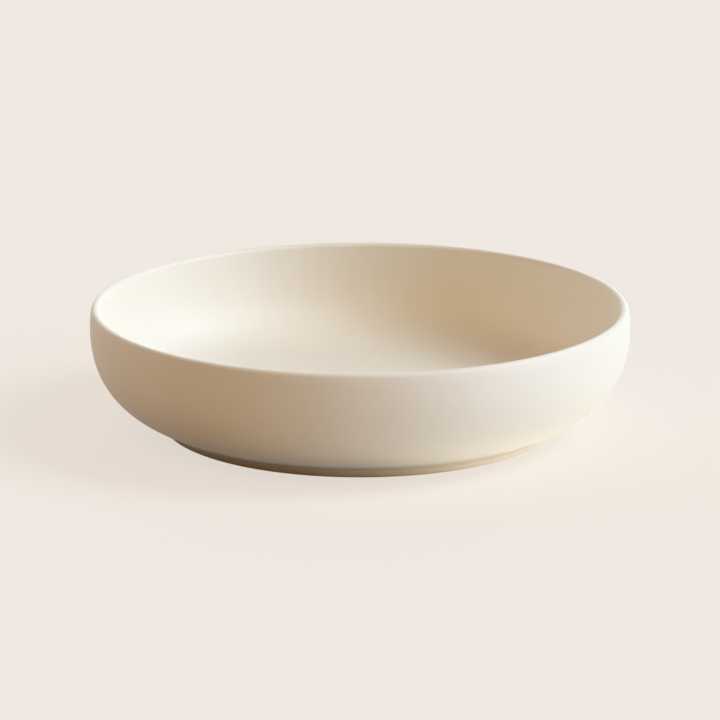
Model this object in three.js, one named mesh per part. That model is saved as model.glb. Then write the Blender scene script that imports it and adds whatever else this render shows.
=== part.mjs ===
// A low stoneware bowl: flat floor, swelling belly, wall leaning in to a round lip, low foot ring.
//
// The bowl and its foot ring are formed apart in clay and stuck together with slip, and coats of
// glaze are then melted onto the clay. Every piece is a solid of revolution about +Z.
// Lengths are in millimetres. The origin is the middle of the circle on which the bowl stands.

import * as THREE from 'three';

const { degToRad } = THREE.MathUtils;

// Overall form of the finished, glazed bowl
const OVERALL_DIAMETER = 220; // across the widest part of the wall
const OVERALL_HEIGHT = 50; // from the table to the crest of the lip
const WIDEST_DEPTH = 9.2; // the wall is widest this far below the crest

// Lip: a round that the inside and the outside of the wall run into
const LIP_THICKNESS = 3.7;
const LIP_SETBACK = 2.3; // the middle of the lip lies this far inside the widest part
const LIP_LEAN = degToRad(13); // the outside of the wall leans in by this much where it meets the lip

// Belly: the curve outside, from the foot up to the widest part
const BELLY_SLOPE = degToRad(16); // slope of the underside where it leaves the foot
const BELLY_REACH = 21.5; // how far the curve keeps to that slope: the length of its lower handle
const BELLY_DROP = 16.5; // how far it keeps upright below the widest part: its upper handle

// Inside: a flat floor swept up into an upright wall
const BASE_THICKNESS = 4.8; // clay between the floor and the underside
const FLOOR_INSET = 19.3; // the flat of the floor ends this far inside the foot's outer edge
const FLOOR_SWEEP = 36; // how far the curve keeps level beyond the flat: its lower handle
const WALL_DROP = 26; // how far it keeps upright below the lip: its upper handle

// Foot ring
const FOOT_DIAMETER = 162; // outside
const FOOT_HEIGHT = 4; // from the table to the edge of the outside glaze
const FOOT_WIDTH = 7; // radially
const FOOT_OUTER_ROUND = 1.8; // rounds the outer edge of the face that stands on the table
const FOOT_INNER_ROUND = 0.8; // rounds its inner edge

// Slip and glaze
const SLIP_THICKNESS = 0.4;
const GLAZE_THICKNESS = 0.4;
const GLAZE_MARGIN = 0.3; // bare line left between a glaze coat and the foot ring

// How finely the curves are cut up
const SEGMENTS = 64; // around the axis
const BELLY_STEPS = 8;
const SHOULDER_STEPS = 2;
const LIP_STEPS = 3; // on each half of the lip
const WALL_STEPS = 9;
const EDGE_STEPS = 2; // pairs of steps on each round of the foot ring

const QUARTER_TURN = Math.PI / 2;
const ROUND_HANDLE = (4 / 3) * (Math.SQRT2 - 1); // a quarter round's handle, as a share of its radius

// The finished surface's key points, as (radius, height)
const widestRadius = OVERALL_DIAMETER / 2;
const lipRadius = LIP_THICKNESS / 2;
const lipCentre = new THREE.Vector2(widestRadius - LIP_SETBACK, OVERALL_HEIGHT - lipRadius);
const footOuter = FOOT_DIAMETER / 2;
const footInner = footOuter - FOOT_WIDTH;
const glazeLine = new THREE.Vector2(footOuter + GLAZE_MARGIN, FOOT_HEIGHT);
const clayEdge = travel(glazeLine, BELLY_SLOPE + QUARTER_TURN, GLAZE_THICKNESS);
const underside = clayEdge.y;
const floorHeight = underside + BASE_THICKNESS + GLAZE_THICKNESS;

/** The point a distance from another, along a direction given as an angle from level. */
function travel(from, angle, distance) {
  return new THREE.Vector2(Math.cos(angle), Math.sin(angle)).multiplyScalar(distance).add(from);
}

/** The points along curves that follow each other, each cut into its own number of steps. */
function trace(stretches) {
  const [first] = stretches;
  return [
    first.curve.getPoint(0),
    ...stretches.flatMap(({ curve, steps }) => curve.getPoints(steps).slice(1)),
  ];
}

/** The outside from the glaze line up to the crest, at a depth below the finished surface. */
function outsideLine(depth) {
  const start = travel(glazeLine, BELLY_SLOPE + QUARTER_TURN, depth);
  const widest = new THREE.Vector2(widestRadius - depth, OVERALL_HEIGHT - WIDEST_DEPTH);
  const round = lipRadius - depth;
  const lipStart = travel(lipCentre, LIP_LEAN, round);
  const give = ROUND_HANDLE * depth;
  const third = widest.distanceTo(lipStart) / 3;
  const belly = new THREE.CubicBezierCurve(
    start,
    travel(start, BELLY_SLOPE, BELLY_REACH - give),
    travel(widest, -QUARTER_TURN, BELLY_DROP - give),
    widest,
  );
  const shoulder = new THREE.CubicBezierCurve(
    widest,
    travel(widest, QUARTER_TURN, third),
    travel(lipStart, LIP_LEAN - QUARTER_TURN, third),
    lipStart,
  );
  const lip = new THREE.EllipseCurve(lipCentre.x, lipCentre.y, round, round, LIP_LEAN, QUARTER_TURN);
  return trace([
    { curve: belly, steps: BELLY_STEPS },
    { curve: shoulder, steps: SHOULDER_STEPS },
    { curve: lip, steps: LIP_STEPS },
  ]);
}

/** The inside from the crest down to the middle of the floor, at a depth below the finished surface. */
function insideLine(depth) {
  const round = lipRadius - depth;
  const lip = new THREE.EllipseCurve(lipCentre.x, lipCentre.y, round, round, QUARTER_TURN, Math.PI);
  const lipEnd = lip.getPoint(1);
  const floorEdge = new THREE.Vector2(footOuter - FLOOR_INSET, floorHeight - depth);
  const give = ROUND_HANDLE * depth;
  const wall = new THREE.CubicBezierCurve(
    lipEnd,
    travel(lipEnd, -QUARTER_TURN, WALL_DROP + give),
    travel(floorEdge, 0, FLOOR_SWEEP + give),
    floorEdge,
  );
  const floor = new THREE.LineCurve(floorEdge, new THREE.Vector2(0, floorEdge.y));
  return trace([
    { curve: lip, steps: LIP_STEPS },
    { curve: wall, steps: WALL_STEPS },
    { curve: floor, steps: 1 },
  ]);
}

/** The section of a flat layer with square edges, from an inner to an outer radius. */
function layerSection(inner, outer, bottom, top) {
  return [[inner, bottom], [outer, bottom], [outer, top], [inner, top], [inner, bottom]]
    .map(([radius, height]) => new THREE.Vector2(radius, height));
}

/** The section of the foot ring, flat above, with both edges of its standing face rounded. */
function footSection() {
  const outer = FOOT_OUTER_ROUND;
  const inner = FOOT_INNER_ROUND;
  const top = underside - SLIP_THICKNESS;
  const section = new THREE.Path();
  section.moveTo(footOuter, top);
  section.lineTo(footInner, top);
  section.absarc(footInner + inner, inner, inner, 2 * QUARTER_TURN, 3 * QUARTER_TURN);
  section.absarc(footOuter - outer, outer, outer, 3 * QUARTER_TURN, 4 * QUARTER_TURN);
  section.closePath();
  return section.getPoints(EDGE_STEPS);
}

/** A named piece turned from a section about the upright axis. */
function turned(name, section, material) {
  const geometry = new THREE.LatheGeometry(section, SEGMENTS).rotateX(QUARTER_TURN);
  const mesh = new THREE.Mesh(geometry, material);
  mesh.name = name;
  return mesh;
}

const clay = new THREE.MeshStandardMaterial({ color: '#c9ae8c', roughness: 0.9, metalness: 0 });
const slip = new THREE.MeshStandardMaterial({ color: '#bfa27f', roughness: 0.95, metalness: 0 });
const glaze = new THREE.MeshStandardMaterial({ color: '#efe6d6', roughness: 0.5, metalness: 0 });

const outsideFinish = outsideLine(0);
const outsideClay = outsideLine(GLAZE_THICKNESS);
const insideFinish = insideLine(0);
const insideClay = insideLine(GLAZE_THICKNESS);

// The clay runs from the middle of the underside, out and over the lip, to the middle of the floor.
const bodySection = [new THREE.Vector2(0, underside), ...outsideClay, ...insideClay.slice(1)];
const outsideCoat = [...outsideFinish, ...outsideClay.toReversed(), outsideFinish[0]];
const insideCoat = [...insideClay.toReversed(), ...insideFinish];
const slipLayer = layerSection(footInner, footOuter, underside - SLIP_THICKNESS, underside);
const baseCoat = layerSection(0, footInner - GLAZE_MARGIN, underside - GLAZE_THICKNESS, underside);

const bowl = new THREE.Group();
bowl.name = 'low_bowl';
bowl.add(
  turned('stoneware_body', bodySection, clay),
  turned('foot_ring', footSection(), clay),
  turned('luting_slip', slipLayer, slip),
  turned('inside_glaze', insideCoat, glaze),
  turned('outside_glaze', outsideCoat, glaze),
  turned('base_glaze', baseCoat, glaze),
);

export default bowl;
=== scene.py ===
"""The looks of a low stoneware bowl: glaze coats over clay, a bare foot, and a plain pale studio."""

import logging
import math
from collections.abc import Mapping, Sequence
from dataclasses import dataclass, replace
from enum import Enum
from itertools import pairwise

import bpy
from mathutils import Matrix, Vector


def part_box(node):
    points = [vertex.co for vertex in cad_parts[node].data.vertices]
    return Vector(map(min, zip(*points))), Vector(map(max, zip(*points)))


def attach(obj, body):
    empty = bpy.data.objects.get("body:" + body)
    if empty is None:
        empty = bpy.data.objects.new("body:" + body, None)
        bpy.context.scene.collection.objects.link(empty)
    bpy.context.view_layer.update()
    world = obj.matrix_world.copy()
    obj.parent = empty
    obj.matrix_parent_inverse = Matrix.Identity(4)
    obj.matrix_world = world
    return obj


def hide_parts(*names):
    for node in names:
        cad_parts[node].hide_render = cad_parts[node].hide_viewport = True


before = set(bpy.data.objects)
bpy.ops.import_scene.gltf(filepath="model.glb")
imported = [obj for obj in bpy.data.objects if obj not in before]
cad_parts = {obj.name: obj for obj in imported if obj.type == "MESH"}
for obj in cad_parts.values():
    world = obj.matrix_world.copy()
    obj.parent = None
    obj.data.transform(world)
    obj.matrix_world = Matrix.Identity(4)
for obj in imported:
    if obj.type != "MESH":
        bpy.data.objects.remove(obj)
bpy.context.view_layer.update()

LOG = logging.getLogger("low_bowl")
BODY = "root"

MM = 0.001
FULL_TURN = 2 * math.pi
QUARTER_TURN = FULL_TURN / 4
ROUND_HANDLE = 4 / 3 * (math.sqrt(2) - 1)  # a quarter round's handle, as a share of its radius
NOISE_MIDDLE = 0.5

Colour = tuple[float, float, float, float]


def srgb(red: int, green: int, blue: int) -> Colour:
    """Turns a screen colour into the linear colour that shaders take.

    Args:
        red: Red, from 0 to 255.
        green: Green, from 0 to 255.
        blue: Blue, from 0 to 255.

    Returns:
        The linear colour, with full alpha.
    """
    def linear(level: int) -> float:
        """Undoes the screen curve on one channel."""
        share = level / 255
        return share / 12.92 if share <= 0.04045 else ((share + 0.055) / 1.055) ** 2.4

    return linear(red), linear(green), linear(blue), 1.0


def travel(start: Vector, angle: float, distance: float) -> Vector:
    """Moves a section point.

    Args:
        start: The point to start from, as radius and height.
        angle: The direction, in radians from level and outwards.
        distance: How far to go, in metres.

    Returns:
        The point that is reached.
    """
    return start + distance * Vector((math.cos(angle), math.sin(angle)))


class Spacing(Enum):
    """Where the steps of a round lie closest together."""

    EVEN = "even"
    START = "start"
    END = "end"

    def share(self, there: float) -> float:
        """Turns an even share of the way along a round into the share at this spacing."""
        if self is Spacing.START:
            return there ** 2
        if self is Spacing.END:
            return 1 - (1 - there) ** 2
        return there


class SectionLine:
    """A line in the bowl's section, drawn stretch by stretch as points of radius and height."""

    def __init__(self, start: Vector) -> None:
        """Starts the line at a point."""
        self.points: list[Vector] = [start.copy()]

    @property
    def end(self) -> Vector:
        """The point that the line has reached."""
        return self.points[-1]

    def straight(self, end: Vector, steps: int = 1) -> "SectionLine":
        """Draws a straight stretch.

        Args:
            end: Where the stretch ends.
            steps: How many equal steps it has.

        Returns:
            The line itself.
        """
        start = self.end.copy()
        self.points += [start.lerp(end, step / steps) for step in range(1, steps + 1)]
        return self

    def curve(self, first: Vector, last: Vector, end: Vector, steps: int) -> "SectionLine":
        """Draws a cubic curve.

        Args:
            first: The handle of the line's present end.
            last: The handle of the curve's far end.
            end: Where the curve ends.
            steps: How many steps it has.

        Returns:
            The line itself.
        """
        start = self.end.copy()
        for step in range(1, steps + 1):
            there = step / steps
            here = 1 - there
            near_part = here ** 3 * start + 3 * here ** 2 * there * first
            far_part = 3 * here * there ** 2 * last + there ** 3 * end
            self.points.append(near_part + far_part)
        return self

    def arc(
        self,
        centre: Vector,
        radius: float,
        turn: tuple[float, float],
        steps: int,
        spacing: Spacing = Spacing.EVEN,
    ) -> "SectionLine":
        """Draws a round, from the point of it that the line has reached.

        Args:
            centre: The middle of the round.
            radius: Its radius in metres.
            turn: The angles, from level and outwards, at which it starts and ends.
            steps: How many steps it has.
            spacing: Where the steps lie closest together.

        Returns:
            The line itself.
        """
        start, end = turn
        for step in range(1, steps + 1):
            angle = start + (end - start) * spacing.share(step / steps)
            self.points.append(travel(centre, angle, radius))
        return self

    def follow(self, points: Sequence[Vector]) -> "SectionLine":
        """Goes on through more points, leaving out a first one that the line is already at."""
        skip = 1 if (points[0] - self.end).length < Wheel.merge_distance else 0
        self.points += [point.copy() for point in points[skip:]]
        return self


class Wheel:
    """A potter's wheel: turns a section line into a round piece about the upright axis."""

    steps_around: int = 192
    merge_distance: float = 0.002 * MM
    smooth_angle: float = math.radians(40)

    @classmethod
    def turn(cls, name: str, line: SectionLine) -> bpy.types.Object:
        """Draws the section as a chain of vertices and spins it into a closed piece.

        Args:
            name: The piece's name.
            line: The section, which starts and ends on the axis or closes on itself.

        Returns:
            The piece, with its faces outwards and its place in its mesh.
        """
        bpy.ops.object.select_all(action="DESELECT")
        bpy.ops.mesh.primitive_plane_add(size=MM, location=(0, 0, 0))
        piece = bpy.context.active_object
        piece.name = piece.data.name = name
        bpy.ops.object.mode_set(mode="EDIT")
        bpy.ops.mesh.select_all(action="SELECT")
        bpy.ops.mesh.merge(type="CENTER")
        first = line.points[0]
        bpy.ops.transform.translate(value=(first.x, 0, first.y))
        for here, there in pairwise(line.points):
            step = there - here
            bpy.ops.mesh.extrude_region_move(TRANSFORM_OT_translate={"value": (step.x, 0, step.y)})
        bpy.ops.mesh.select_all(action="SELECT")
        bpy.ops.mesh.spin(steps=cls.steps_around, angle=FULL_TURN, center=(0, 0, 0), axis=(0, 0, 1))
        bpy.ops.mesh.select_all(action="SELECT")
        bpy.ops.mesh.remove_doubles(threshold=cls.merge_distance)
        bpy.ops.mesh.normals_make_consistent(inside=False)
        bpy.ops.object.mode_set(mode="OBJECT")
        bpy.ops.object.shade_smooth_by_angle(angle=cls.smooth_angle)
        return piece


class Wire:
    """A socket of a shader that takes part in Python sums: each operator adds a Math node."""

    def __init__(self, board: "Board", socket: bpy.types.NodeSocket | None) -> None:
        """Holds a node's board and one of its output sockets, or None where it has none."""
        self.board = board
        self.socket = socket

    def out(self, name: str) -> "Wire":
        """Gives another output of the same node, by its name."""
        return Wire(self.board, self.socket.node.outputs[name])

    def __add__(self, other: "Wire | float") -> "Wire":
        """Adds a value."""
        return self.board.math("ADD", self, other)

    def __radd__(self, other: float) -> "Wire":
        """Is added to a number."""
        return self.board.math("ADD", other, self)

    def __sub__(self, other: "Wire | float") -> "Wire":
        """Takes a value away."""
        return self.board.math("SUBTRACT", self, other)

    def __rsub__(self, other: float) -> "Wire":
        """Is taken away from a number."""
        return self.board.math("SUBTRACT", other, self)

    def __mul__(self, other: "Wire | float") -> "Wire":
        """Multiplies by a value."""
        return self.board.math("MULTIPLY", self, other)

    def __rmul__(self, other: float) -> "Wire":
        """Multiplies a number."""
        return self.board.math("MULTIPLY", other, self)


SocketValue = Wire | float | Colour


@dataclass(frozen=True)
class Grain:
    """The grain of soft noise: the size of its blotches in metres, and how many finer layers it has."""

    size: float
    detail: float


class Board:
    """The nodes of one material or world, laid down and wired by code."""

    def __init__(self, tree: bpy.types.NodeTree) -> None:
        """Clears a node tree to work on."""
        self.tree = tree
        tree.nodes.clear()

    @classmethod
    def of_material(cls, name: str) -> tuple[bpy.types.Material, "Board"]:
        """Makes a material of a given name, with an empty board."""
        made = bpy.data.materials.new(name)
        made.use_nodes = True
        return made, cls(made.node_tree)

    def node(
        self,
        kind: str,
        settings: Mapping[str, str] | None = None,
        sockets: Mapping[str, SocketValue] | None = None,
    ) -> Wire:
        """Lays down one node.

        Args:
            kind: The node's type.
            settings: Its settings, such as a Math node's operation, which are set first.
            sockets: Values or wires for its input sockets, by identifier or name.

        Returns:
            The wire of the node's first output that is in use.
        """
        made = self.tree.nodes.new(kind)
        for name, value in (settings or {}).items():
            setattr(made, name, value)
        for name, value in (sockets or {}).items():
            socket = self._input(made, name)
            if isinstance(value, Wire):
                self.tree.links.new(value.socket, socket)
            else:
                socket.default_value = value
        outputs = [socket for socket in made.outputs if socket.enabled]
        return Wire(self, outputs[0] if outputs else None)

    @staticmethod
    def _input(node: bpy.types.Node, name: str) -> bpy.types.NodeSocket:
        """Finds an input socket in use by its identifier or, failing that, its name.

        Args:
            node: The node.
            name: The socket's identifier or name.

        Returns:
            The socket.
        """
        live = [socket for socket in node.inputs if socket.enabled]
        for socket in live:
            if socket.identifier == name:
                return socket
        return next(socket for socket in live if socket.name == name)

    def math(self, operation: str, first: Wire | float, second: Wire | float) -> Wire:
        """Adds a Math node on two values."""
        return self.node("ShaderNodeMath", {"operation": operation}, {"Value": first, "Value_001": second})

    def blend(self, factor: Wire | float, first: SocketValue, second: SocketValue) -> Wire:
        """Mixes two colours.

        Args:
            factor: The share of the second colour.
            first: A colour, or the wire of one.
            second: A colour, or the wire of one.

        Returns:
            The wire of the mixed colour.
        """
        return self.node(
            "ShaderNodeMix",
            {"data_type": "RGBA"},
            {"Factor_Float": factor, "A_Color": first, "B_Color": second},
        )

    def mix_shaders(self, factor: Wire | float, first: Wire, second: Wire) -> Wire:
        """Mixes two shaders, by the share of the second."""
        return self.node("ShaderNodeMixShader", None, {"Fac": factor, "Shader": first, "Shader_001": second})

    def matte(self, colour: Colour) -> Wire:
        """Gives a plain matte shader of one colour."""
        return self.node("ShaderNodeBsdfDiffuse", None, {"Color": colour})

    def place(self) -> Wire:
        """Gives the piece's own coordinates, in metres, centred on the bowl's axis."""
        coordinates = self.node("ShaderNodeTexCoord").out("Object")
        return self.node("ShaderNodeMapping", {"vector_type": "POINT"}, {"Vector": coordinates})

    def along(self, place: Wire, axis: str) -> Wire:
        """Gives one coordinate of a place, by its axis."""
        return self.node("ShaderNodeSeparateXYZ", None, {"Vector": place}).out(axis)

    def noise(self, place: Wire, grain: Grain) -> Wire:
        """Gives soft noise from 0 to 1.

        Args:
            place: The coordinates that it is read at.
            grain: Its blotches' size and detail.

        Returns:
            The wire of the noise.
        """
        return self.node(
            "ShaderNodeTexNoise",
            None,
            {"Vector": place, "Scale": 1 / grain.size, "Detail": grain.detail},
        )

    def ramp(self, value: Wire, low: float, high: float) -> Wire:
        """Runs smoothly from 0 at a low value to 1 at a high one."""
        return self.node(
            "ShaderNodeMapRange",
            {"interpolation_type": "SMOOTHSTEP"},
            {"Value": value, "From Min": low, "From Max": high},
        )

    def bump(self, height: Wire, depth: float, below: Wire | None = None) -> Wire:
        """Turns a height from 0 to 1 into a bumped normal.

        Args:
            height: The wire of the height.
            depth: What a height of 1 stands for, in metres.
            below: The normal of a coarser bump that this one lies on.

        Returns:
            The wire of the normal.
        """
        sockets: dict[str, SocketValue] = {"Height": height, "Distance": depth, "Strength": 1.0}
        if below is not None:
            sockets["Normal"] = below
        return self.node("ShaderNodeBump", None, sockets)


class ClayPart(Enum):
    """The clay pieces, by their nodes' names."""

    BODY = "stoneware_body"
    FOOT = "foot_ring"
    SLIP = "luting_slip"


class Coat(Enum):
    """The glaze coats, by their nodes' names."""

    INSIDE = "inside_glaze"
    OUTSIDE = "outside_glaze"
    BASE = "base_glaze"


@dataclass(frozen=True)
class SatinGlaze:
    """A cream glaze with a satin-matte surface, slightly uneven in tone and faintly rippled, with painted
    shade toward its lower edge where a band is given.
    """

    crease_shade_band: tuple[float, float] | None = None  # heights over which the painted shade in the crease under the belly fades out, going up
    pale: Colour = srgb(245, 240, 226)
    deep: Colour = srgb(241, 233, 214)
    # painted shade: a darker, warmer colour for the crease under the belly
    crease_shade: Colour = srgb(232, 216, 190)
    tone: Grain = Grain(38 * MM, 2.0)
    mottle: Grain = Grain(5 * MM, 3.0)
    tone_share: float = 0.6  # of the unevenness, of which the mottle has the rest
    roughness: float = 0.52
    roughness_play: float = 0.08
    ripple: Grain = Grain(14 * MM, 1.0)
    ripple_depth: float = 0.03 * MM
    eggshell: Grain = Grain(0.9 * MM, 2.0)
    eggshell_depth: float = 0.004 * MM

    def material(self, name: str) -> bpy.types.Material:
        """Makes the glaze as a material.

        Args:
            name: The material's name.

        Returns:
            The material.
        """
        made, board = Board.of_material(name)
        place = board.place()
        tone = board.noise(place, self.tone)
        mottle = board.noise(place, self.mottle)
        unevenness = self.tone_share * tone + (1 - self.tone_share) * mottle
        colour = board.blend(unevenness, self.pale, self.deep)
        # painted shade: darker and warmer toward the foot, where shade falls under the belly
        if self.crease_shade_band is not None:
            clear_of_shade = board.ramp(board.along(place, "Z"), *self.crease_shade_band)
            colour = board.blend(1 - clear_of_shade, colour, self.crease_shade)
        roughness = self.roughness + self.roughness_play * (mottle - NOISE_MIDDLE)
        ripple = board.bump(board.noise(place, self.ripple), self.ripple_depth)
        eggshell = board.bump(board.noise(place, self.eggshell), self.eggshell_depth, ripple)
        surface = board.node(
            "ShaderNodeBsdfPrincipled",
            None,
            {"Base Color": colour, "Roughness": roughness, "Normal": eggshell},
        )
        board.node("ShaderNodeOutputMaterial", None, {"Surface": surface})
        return made


@dataclass(frozen=True)
class BareClay:
    """Fired stoneware with no glaze: matte, finely sandy, with painted shade on its side away from the
    light, and a few iron specks.
    """

    pale: Colour = srgb(245, 239, 221)
    deep: Colour = srgb(242, 232, 210)
    # painted shade: a browner colour for the side away from the light
    painted_shade: Colour = srgb(237, 202, 154)
    painted_shade_edge: tuple[float, float] = (-5 * MM, 63 * MM)  # across the bowl, from painted shade to pale
    painted_shade_share: float = 0.88
    iron: Colour = srgb(150, 116, 84)
    tone: Grain = Grain(12 * MM, 2.0)
    sand: Grain = Grain(0.6 * MM, 3.0)
    tone_share: float = 0.5  # of the unevenness, of which the sand has the rest
    sand_depth: float = 0.03 * MM
    speck_spacing: float = 2.2 * MM
    speck_reach: float = 0.12  # as a share of the spacing
    speck_core: float = 0.5  # as a share of the reach
    speck_strength: float = 0.5
    roughness: float = 0.9
    specular: float = 0.3

    def material(self, name: str) -> bpy.types.Material:
        """Makes the clay as a material.

        Args:
            name: The material's name.

        Returns:
            The material.
        """
        made, board = Board.of_material(name)
        place = board.place()
        tone = board.noise(place, self.tone)
        sand = board.noise(place, self.sand)
        unevenness = self.tone_share * tone + (1 - self.tone_share) * sand
        fresh = board.blend(unevenness, self.pale, self.deep)
        # painted shade: the clay turns browner across the bowl, toward the side away from the light
        painted_shade_mask = self.painted_shade_share * (1 - board.ramp(board.along(place, "X"), *self.painted_shade_edge))
        clay = board.blend(painted_shade_mask, fresh, self.painted_shade)
        cells = board.node("ShaderNodeTexVoronoi", None, {"Vector": place, "Scale": 1 / self.speck_spacing})
        speck = 1 - board.ramp(cells, self.speck_core * self.speck_reach, self.speck_reach)
        colour = board.blend(self.speck_strength * speck, clay, self.iron)
        grain = board.bump(sand, self.sand_depth)
        surface = board.node(
            "ShaderNodeBsdfPrincipled",
            None,
            {
                "Base Color": colour,
                "Roughness": self.roughness,
                "Specular IOR Level": self.specular,
                "Normal": grain,
            },
        )
        board.node("ShaderNodeOutputMaterial", None, {"Surface": surface})
        return made


@dataclass(frozen=True)
class BowlSection:
    """The finished bowl's section in metres. What the frame's boxes give is read from them."""

    rim_height: float
    widest_radius: float
    lip_middle: float
    glaze_line: Vector
    underside: float
    floor_height: float
    glaze: float
    foot_outer: float
    widest_depth: float = 9.2 * MM
    lip_thickness: float = 3.7 * MM
    lip_lean: float = math.radians(13)
    shoulder_handle: float = 0.28  # as a share of the shoulder's length
    belly_slope: float = math.radians(16)
    belly_reach: float = 21.5 * MM
    belly_drop: float = 16.5 * MM
    glaze_margin: float = 0.3 * MM
    floor_inset: float = 19.3 * MM
    floor_sweep: float = 36 * MM
    wall_drop: float = 26 * MM
    belly_steps: int = 30
    shoulder_steps: int = 8
    lip_steps: int = 14
    wall_steps: int = 32
    floor_steps: int = 6

    @classmethod
    def from_frame(cls) -> "BowlSection":
        """Reads the section's main sizes from the boxes of the frame's nodes.

        Returns:
            The section.
        """
        outside_low, outside_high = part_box(Coat.OUTSIDE.value)
        inside_low, inside_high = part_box(Coat.INSIDE.value)
        body_low, body_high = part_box(ClayPart.BODY.value)
        _, foot_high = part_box(ClayPart.FOOT.value)
        glaze = outside_high.z - body_high.z
        return cls(
            rim_height=outside_high.z,
            widest_radius=outside_high.x,
            lip_middle=inside_high.x,
            glaze_line=Vector((foot_high.x + cls.glaze_margin, outside_low.z)),
            underside=body_low.z,
            floor_height=inside_low.z + glaze,
            glaze=glaze,
            foot_outer=foot_high.x,
        )

    @property
    def lip_centre(self) -> Vector:
        """The middle of the lip's round."""
        return Vector((self.lip_middle, self.rim_height - self.lip_thickness / 2))

    def outside(self, depth: float) -> SectionLine:
        """Draws the outside from the glaze line up to the crest.

        Args:
            depth: How far the line lies below the finished surface.

        Returns:
            The line.
        """
        start = travel(self.glaze_line, self.belly_slope + QUARTER_TURN, depth)
        widest = Vector((self.widest_radius - depth, self.rim_height - self.widest_depth))
        radius = self.lip_thickness / 2 - depth
        lip_start = travel(self.lip_centre, self.lip_lean, radius)
        give = ROUND_HANDLE * depth
        handle = self.shoulder_handle * (lip_start - widest).length
        line = SectionLine(start)
        line.curve(
            travel(start, self.belly_slope, self.belly_reach - give),
            travel(widest, -QUARTER_TURN, self.belly_drop - give),
            widest,
            self.belly_steps,
        )
        line.curve(
            travel(widest, QUARTER_TURN, handle),
            travel(lip_start, self.lip_lean - QUARTER_TURN, handle),
            lip_start,
            self.shoulder_steps,
        )
        turn = (self.lip_lean, QUARTER_TURN)
        return line.arc(self.lip_centre, radius, turn, self.lip_steps, Spacing.END)

    def inside(self, depth: float) -> SectionLine:
        """Draws the inside from the crest down to the middle of the floor.

        Args:
            depth: How far the line lies below the finished surface.

        Returns:
            The line.
        """
        radius = self.lip_thickness / 2 - depth
        line = SectionLine(travel(self.lip_centre, QUARTER_TURN, radius))
        turn = (QUARTER_TURN, 2 * QUARTER_TURN)
        line.arc(self.lip_centre, radius, turn, self.lip_steps, Spacing.START)
        floor_edge = Vector((self.foot_outer - self.floor_inset, self.floor_height - depth))
        give = ROUND_HANDLE * depth
        line.curve(
            travel(line.end, -QUARTER_TURN, self.wall_drop + give),
            travel(floor_edge, 0, self.floor_sweep + give),
            floor_edge,
            self.wall_steps,
        )
        return line.straight(Vector((0, floor_edge.y)), self.floor_steps)


def finish_piece(piece: bpy.types.Object, node: str, material: bpy.types.Material) -> None:
    """Dresses a piece and sets it in the frame.

    Args:
        piece: The piece.
        node: The CAD node that it stands for.
        material: Its finish.
    """
    piece.data.materials.append(material)
    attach(piece, BODY)
    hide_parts(node)
    LOG.info("%s stands for %s, with %d faces", piece.name, node, len(piece.data.polygons))


@dataclass
class ClayBody:
    """The clay bowl under the glaze."""

    section: BowlSection
    finish: BareClay

    def build(self) -> bpy.types.Object:
        """Turns the clay from the middle of its underside, out and over the lip, to its floor.

        Returns:
            The clay bowl.
        """
        outside = self.section.outside(self.section.glaze)
        line = SectionLine(Vector((0, self.section.underside)))
        line.straight(outside.points[0], self.section.floor_steps)
        line.follow(outside.points)
        line.follow(self.section.inside(self.section.glaze).points)
        return Wheel.turn("clay_bowl", line)

    def dress(self, piece: bpy.types.Object) -> None:
        """Gives the clay its finish and its place in the frame."""
        finish_piece(piece, ClayPart.BODY.value, self.finish.material("clay_under_glaze"))


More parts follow.
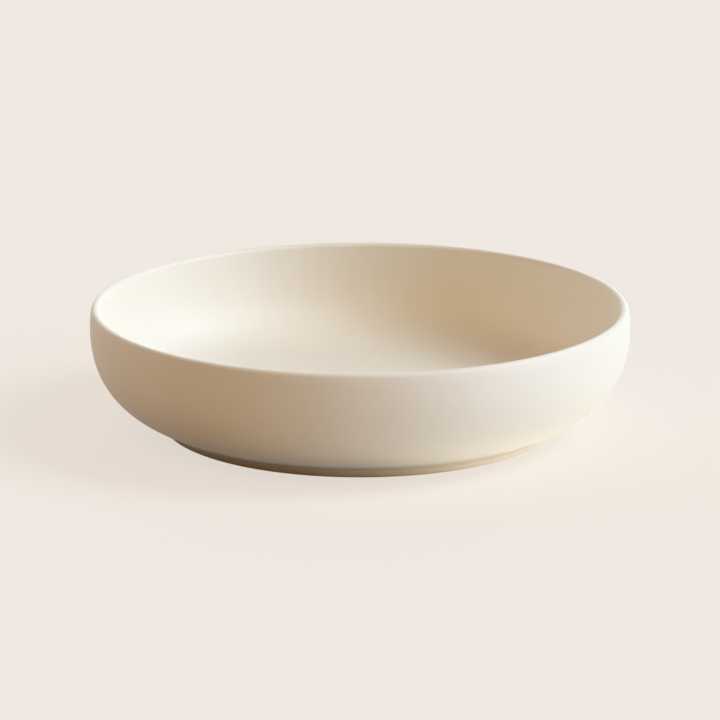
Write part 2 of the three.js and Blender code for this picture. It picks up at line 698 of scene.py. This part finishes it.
@dataclass
class GlazeCoats:
    """The glaze coats on the inside, the outside and the base."""

    section: BowlSection
    finish: SatinGlaze
    crease_shade_band: tuple[float, float] = (2 * MM, 9 * MM)  # heights over which the outside coat's painted shade fades out, going up
    edge_steps: int = 6
    foot_reach: float = 1.5 * MM  # how far the outside coat runs down onto the foot
    foot_skin: float = 0.1 * MM  # its thickness there
    foot_clearance: float = 0.02 * MM
    hollow_handle: float = 0.59  # of the soft hollow between belly and foot, as a share of its sides
    hollow_steps: int = 1  # steps of the belly that the hollow takes in

    def build(self) -> dict[Coat, bpy.types.Object]:
        """Turns the three coats, each as a closed skin on the clay.

        Returns:
            The coats.
        """
        return {
            Coat.INSIDE: self._build_inside(),
            Coat.OUTSIDE: self._build_outside(),
            Coat.BASE: self._build_base(),
        }

    def _build_inside(self) -> bpy.types.Object:
        """Turns the coat over the floor, the inner wall and the inner half of the lip.

        Returns:
            The coat.
        """
        clay = self.section.inside(self.section.glaze).points[::-1]
        line = SectionLine(clay[0]).follow(clay)
        line.follow(self.section.inside(0).points)
        return Wheel.turn("glaze_inside", line)

    def _build_outside(self) -> bpy.types.Object:
        """Turns the coat over the outer half of the lip, the wall, the belly and a little of the foot.

        Returns:
            The coat.
        """
        finished = self.section.outside(0).points[self.hollow_steps:]
        clay = self.section.outside(self.section.glaze).points[::-1]
        line = self._foot_edge(finished[0])
        inner_end = line.points[0].copy()
        line.follow(finished).follow(clay).straight(inner_end)
        return Wheel.turn("glaze_outside", line)

    def _foot_edge(self, belly: Vector) -> SectionLine:
        """Draws the outside coat's lower end.

        Args:
            belly: The point of the belly that it runs up to.

        Returns:
            The line, from the foot's clay out to the coat's surface and up in a soft hollow to the belly.
        """
        inner = self.section.foot_outer + self.foot_clearance
        corner = Vector((inner + self.foot_skin, self.section.glaze_line.y))
        low = Vector((corner.x, corner.y - self.foot_reach))
        line = SectionLine(Vector((inner, low.y))).straight(low)
        first = low.lerp(corner, self.hollow_handle)
        last = belly.lerp(corner, self.hollow_handle)
        return line.curve(first, last, belly, self.edge_steps)

    def _build_base(self) -> bpy.types.Object:
        """Turns the coat on the base inside the foot ring, with a rounded edge.

        Returns:
            The coat.
        """
        _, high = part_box(Coat.BASE.value)
        round_radius = self.section.glaze
        corner = Vector((high.x - round_radius, high.z))
        line = SectionLine(Vector((0, high.z - round_radius)))
        line.straight(Vector((corner.x, high.z - round_radius)), self.section.floor_steps)
        line.arc(corner, round_radius, (-QUARTER_TURN, 0), self.edge_steps)
        line.straight(Vector((0, high.z)), self.section.floor_steps)
        return Wheel.turn("glaze_base", line)

    def dress(self, coats: Mapping[Coat, bpy.types.Object]) -> None:
        """Gives each coat the glaze and its place in the frame.

        Args:
            coats: The coats to dress.
        """
        # the outside coat gets painted shade in the crease above the foot
        crease_shaded = replace(self.finish, crease_shade_band=self.crease_shade_band)
        for coat, piece in coats.items():
            finish = crease_shaded if coat is Coat.OUTSIDE else self.finish
            finish_piece(piece, coat.value, finish.material(f"cream_{coat.value}"))


@dataclass
class Foot:
    """The bare clay ring that the bowl stands on, and the slip that joins it to the base."""

    finish: BareClay
    seam_roughness: float = 0.95
    foot_width: float = 7 * MM
    outer_round: float = 1.8 * MM
    inner_round: float = 0.8 * MM
    edge_steps: int = 8

    def build(self) -> tuple[bpy.types.Object, bpy.types.Object]:
        """Turns the ring and the layer of slip on it.

        Returns:
            The ring and the slip.
        """
        _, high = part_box(ClayPart.FOOT.value)
        top = Vector((high.x, high.z))
        return self._build_ring(top), self._build_seam(top)

    def _build_ring(self, top: Vector) -> bpy.types.Object:
        """Turns the ring, with both edges of its standing face rounded.

        Args:
            top: The ring's outer top edge.

        Returns:
            The ring.
        """
        inner = top.x - self.foot_width
        line = SectionLine(top)
        line.straight(Vector((inner, top.y)), self.edge_steps)
        line.straight(Vector((inner, self.inner_round)), self.edge_steps)
        corner = Vector((inner + self.inner_round, self.inner_round))
        line.arc(corner, self.inner_round, (2 * QUARTER_TURN, 3 * QUARTER_TURN), self.edge_steps)
        line.straight(Vector((top.x - self.outer_round, 0)), self.edge_steps)
        corner = Vector((top.x - self.outer_round, self.outer_round))
        line.arc(corner, self.outer_round, (-QUARTER_TURN, 0), self.edge_steps)
        line.straight(top, self.edge_steps)
        return Wheel.turn("clay_foot", line)

    def _build_seam(self, top: Vector) -> bpy.types.Object:
        """Turns the slip, which lies on the whole top of the ring.

        Args:
            top: The ring's outer top edge.

        Returns:
            The slip.
        """
        _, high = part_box(ClayPart.SLIP.value)
        inner = top.x - self.foot_width
        line = SectionLine(Vector((inner, top.y)))
        line.straight(top)
        line.straight(Vector((top.x, high.z)))
        line.straight(Vector((inner, high.z)))
        line.straight(Vector((inner, top.y)))
        return Wheel.turn("slip_seam", line)

    def dress(self, ring: bpy.types.Object, seam: bpy.types.Object) -> None:
        """Gives the ring and the slip their finishes and their places in the frame.

        Args:
            ring: The ring.
            seam: The slip.
        """
        finish_piece(ring, ClayPart.FOOT.value, self.finish.material("bare_clay"))
        seam_finish = replace(self.finish, roughness=self.seam_roughness)
        finish_piece(seam, ClayPart.SLIP.value, seam_finish.material("fired_slip"))


@dataclass(frozen=True)
class SoftLamp:
    """A wide, even lamp far away, like a large softbox or a bright window."""

    name: str
    azimuth: float  # degrees round from the camera, by way of the right
    elevation: float  # degrees up from level
    spread: float  # degrees across
    level: float  # at 1 it shows a colour as written
    colour: Colour

    def hang(self) -> bpy.types.Object:
        """Hangs the lamp so that it shines on the bowl.

        Returns:
            The lamp.
        """
        lamp = bpy.data.lights.new(self.name, "SUN")
        lamp.energy = math.pi * self.level
        lamp.angle = math.radians(self.spread)
        lamp.color = self.colour[:3]
        made = bpy.data.objects.new(self.name, lamp)
        bpy.context.scene.collection.objects.link(made)
        turn, rise = math.radians(self.azimuth), math.radians(self.elevation)
        towards = Vector((math.sin(turn) * math.cos(rise), -math.cos(turn) * math.cos(rise), math.sin(rise)))
        made.rotation_euler = towards.to_track_quat("Z", "Y").to_euler()
        made.location = towards
        return made


@dataclass(frozen=True)
class Studio:
    """A plain pale floor and backdrop, soft light from the right, and the photograph's view."""

    backdrop: Colour = srgb(240, 233, 225)
    floor_matte: Colour = (0.95, 0.88, 0.78, 1.0)
    floor_glow: Colour = (0.92, 0.855, 0.79, 1.0)
    glow_share: float = 0.75
    bounce_lit: Colour = (0.9, 0.89, 0.84, 1.0)
    # painted shadow: the floor's far side throws back less light
    bounce_dim: Colour = (0.54, 0.4, 0.26, 1.0)
    bounce_edge: tuple[float, float] = (-0.08, 0.08)  # across the floor, from its dim side to its lit side
    shade_edge: tuple[float, float] = (0.085, 0.115)  # out from the axis, past the dark close to the foot
    # painted glow: the floor near the window gives off light, though it is no lamp
    sunlit: Colour = (0.25, 0.245, 0.205, 1.0)
    sunlit_edge: tuple[float, float] = (0.0, 0.06)  # across the floor, where the bright part begins
    sunlit_reach: tuple[float, float] = (0.1, 0.18)  # out from the axis, where it ends
    no_light: Colour = (0.0, 0.0, 0.0, 1.0)
    floor_side: float = 12.0
    ambient: Colour = (1.0, 0.85, 0.7, 1.0)
    ambient_strength: float = 0.03
    lamps: tuple[SoftLamp, ...] = (
        SoftLamp("window_high", 90, 43, 30, 0.735, (0.71, 0.84, 1.0, 1.0)),
        SoftLamp("window_low", 67, 8, 40, 0.5, (0.85, 0.85, 1.0, 1.0)),
        SoftLamp("back_light", 180, 20, 60, 0.31, (0.87, 1.0, 1.0, 1.0)),
        SoftLamp("side_light", 250, 20, 60, 0.2, (0.68, 0.75, 1.0, 1.0)),
        SoftLamp("room_fill", 315, 45, 60, 0.255, (1.0, 0.6, 0.22, 1.0)),
    )
    image_side: int = 720
    focal_pixels: float = 4402.0
    sensor: float = 36.0
    distance: float = 1.8
    elevation: float = math.radians(15.06)
    aim_height: float = 26.4 * MM

    def build(self) -> None:
        """Lays the floor, lights it and sets up the camera."""
        self._lay_floor()
        self._fill_world()
        for lamp in self.lamps:
            lamp.hang()
        self._set_camera()

    @staticmethod
    def _seen(board: Board) -> Wire:
        """Tells the rays that show a surface, directly, in gloss or through glass.

        Args:
            board: The board to work on.

        Returns:
            The wire of 1 for such rays and 0 for others.
        """
        path = board.node("ShaderNodeLightPath")
        seen = board.math("MAXIMUM", path.out("Is Camera Ray"), path.out("Is Glossy Ray"))
        return board.math("MAXIMUM", seen, path.out("Is Transmission Ray"))

    def _lay_floor(self) -> None:
        """Lays a wide pale floor that takes the bowl's shadow."""
        bpy.ops.object.select_all(action="DESELECT")
        bpy.ops.mesh.primitive_plane_add(size=self.floor_side, location=(0, 0, 0))
        floor = bpy.context.active_object
        floor.name = floor.data.name = "studio_floor"
        made, board = Board.of_material("pale_floor")
        thrown = self._thrown_light(board)
        surface = board.mix_shaders(self._seen(board), thrown, self._shown_floor(board))
        board.node("ShaderNodeOutputMaterial", None, {"Surface": surface})
        floor.data.materials.append(made)

    def _thrown_light(self, board: Board) -> Wire:
        """Makes the floor as it lights the bowl: most near the window, least close to the foot's far side.

        Args:
            board: The board to work on.

        Returns:
            The wire of the shader.
        """
        place = board.place()
        across = board.along(place, "X")
        out = board.node("ShaderNodeVectorMath", {"operation": "LENGTH"}, {"Vector": place})
        # painted shade: black close to the foot on the far side, dim further out
        far_side = board.mix_shaders(
            board.ramp(out, *self.shade_edge),
            board.matte(self.no_light),
            board.matte(self.bounce_dim),
        )
        right = board.ramp(across, *self.bounce_edge)
        bounce = board.mix_shaders(right, far_side, board.matte(self.bounce_lit))
        # painted glow: the floor gives off light beside the bowl on the window's side
        near_window = board.ramp(across, *self.sunlit_edge) * (1 - board.ramp(out, *self.sunlit_reach))
        sunlight = board.blend(near_window, self.no_light, self.sunlit)
        sunlit = board.node("ShaderNodeEmission", None, {"Color": sunlight})
        return board.node("ShaderNodeAddShader", None, {"Shader": bounce, "Shader_001": sunlit})

    def _shown_floor(self, board: Board) -> Wire:
        """Makes the floor as it is seen: even and pale, and darker in a shadow.

        Args:
            board: The board to work on.

        Returns:
            The wire of the shader.
        """
        glow = board.node("ShaderNodeEmission", None, {"Color": self.floor_glow})
        return board.mix_shaders(self.glow_share, board.matte(self.floor_matte), glow)

    def _fill_world(self) -> None:
        """Fills the studio with a little even light, and shows the pale backdrop where it is seen."""
        world = bpy.data.worlds.new("studio_world")
        world.use_nodes = True
        bpy.context.scene.world = world
        board = Board(world.node_tree)
        light = board.node(
            "ShaderNodeBackground",
            None,
            {"Color": self.ambient, "Strength": self.ambient_strength},
        )
        shown = board.node("ShaderNodeBackground", None, {"Color": self.backdrop})
        surface = board.mix_shaders(self._seen(board), light, shown)
        board.node("ShaderNodeOutputWorld", None, {"Surface": surface})

    def _set_camera(self) -> None:
        """Sets the camera at the photograph's viewing angle, in its square frame."""
        lens = bpy.data.cameras.new("photo_camera")
        lens.sensor_width = self.sensor
        lens.lens = self.focal_pixels / self.image_side * self.sensor
        camera = bpy.data.objects.new("photo_camera", lens)
        bpy.context.scene.collection.objects.link(camera)
        back = Vector((0, -math.cos(self.elevation), math.sin(self.elevation)))
        camera.location = Vector((0, 0, self.aim_height)) + self.distance * back
        camera.rotation_euler = back.to_track_quat("Z", "Y").to_euler()
        bpy.context.scene.camera = camera
        bpy.context.scene.view_settings.view_transform = "Standard"


def main() -> None:
    """Builds and dresses the bowl piece by piece, then sets up the studio around it."""
    logging.basicConfig(level=logging.INFO, format="%(name)s: %(message)s")
    section = BowlSection.from_frame()
    clay = BareClay()
    body = ClayBody(section, clay)
    body.dress(body.build())
    foot = Foot(clay)
    foot.dress(*foot.build())
    coats = GlazeCoats(section, SatinGlaze())
    coats.dress(coats.build())
    Studio().build()


if __name__ == "__main__":
    main()
